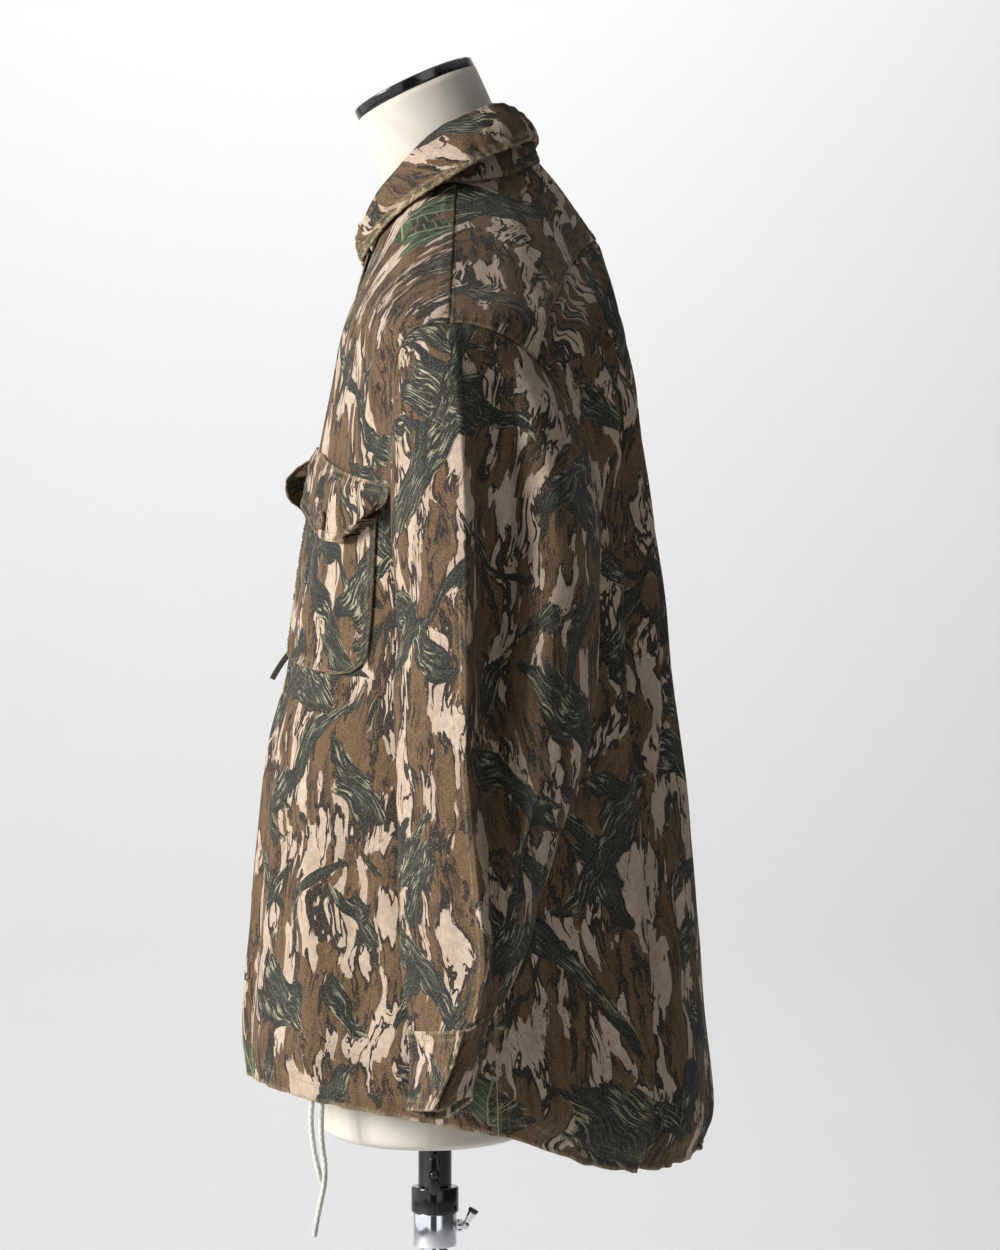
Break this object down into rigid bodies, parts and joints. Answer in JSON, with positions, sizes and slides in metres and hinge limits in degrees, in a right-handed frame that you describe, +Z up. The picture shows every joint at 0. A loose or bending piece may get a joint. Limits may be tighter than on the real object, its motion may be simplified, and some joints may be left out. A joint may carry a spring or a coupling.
{
  "type": "shirt jacket on a dress form",
  "caption": "Buttoned shirt jacket in brushed camouflage cotton, with collar, flap pockets and cuffed sleeves, worn on a limbless dress form on a pole stand.",
  "frame": {"origin": "centre of the base plate's underside, on the floor, on the pole's axis", "axes": "+Z up along the pole, -Y to the jacket's front, +X to the wearer's left"},
  "size_m": [0.6498, 0.4256, 1.6013],
  "materials": {
    "camo_cloth": null,
    "button": "dark brown, satin",
    "cotton_cord": "off-white braided cotton",
    "cream_cover": "smooth stretched cream cover",
    "black_gloss": "gloss black",
    "chrome": "polished",
    "base_paint": "satin black"
  },
  "bodies": {
    "stand": {"base_plate": "base_paint", "stand_pole": "chrome"},
    "carriage": {"clamp_sleeve": "chrome", "ring_collar": "black_gloss"},
    "clamp": {"clamp_screw": "chrome"},
    "form": {"back_panel": "camo_cloth", "back_yoke": "camo_cloth", "front_left": "camo_cloth", "front_right": "camo_cloth", "front_placket": "camo_cloth", "collar_stand": "camo_cloth", "collar_leaf": "camo_cloth", "sleeve_left": "camo_cloth", "sleeve_right": "camo_cloth", "cuff_left": "camo_cloth", "cuff_right": "camo_cloth", "pocket_left": "camo_cloth", "pocket_right": "camo_cloth", "pocket_flap_left": "camo_cloth", "pocket_flap_right": "camo_cloth", "front_tab": "camo_cloth", "drawstring_outlet": "camo_cloth", "button_front_1": "button", "button_front_2": "button", "button_front_3": "button", "button_front_4": "button", "button_front_5": "button", "button_front_6": "button", "button_pocket_left": "button", "button_pocket_right": "button", "button_cuff_left": "button", "button_cuff_right": "button", "drawstring_short": "cotton_cord", "drawstring_long": "cotton_cord", "form_torso": "cream_cover", "neck_cap": "black_gloss", "form_pipe": "black_gloss"},
    "wing": {"wing_bolt": "black_gloss"}
  },
  "joints": [
    {"name": "height", "type": "slide", "parent": "stand", "child": "carriage", "axis": [0, 0, 1], "range_m": [-0.15, 0.14]},
    {"name": "swivel", "type": "hinge", "parent": "carriage", "child": "form", "pos_m": [0, 0, 0.6995], "axis": [0, 0, 1], "continuous": true},
    {"name": "clamp_turn", "type": "hinge", "parent": "carriage", "child": "clamp", "pos_m": [0, 0.0175, 0.668], "axis": [0, 1, 0], "continuous": true},
    {"name": "wing_turn", "type": "hinge", "parent": "form", "child": "wing", "pos_m": [0.0134, 0, 0.7112], "axis": [1, 0, 0], "continuous": true}
  ]
}
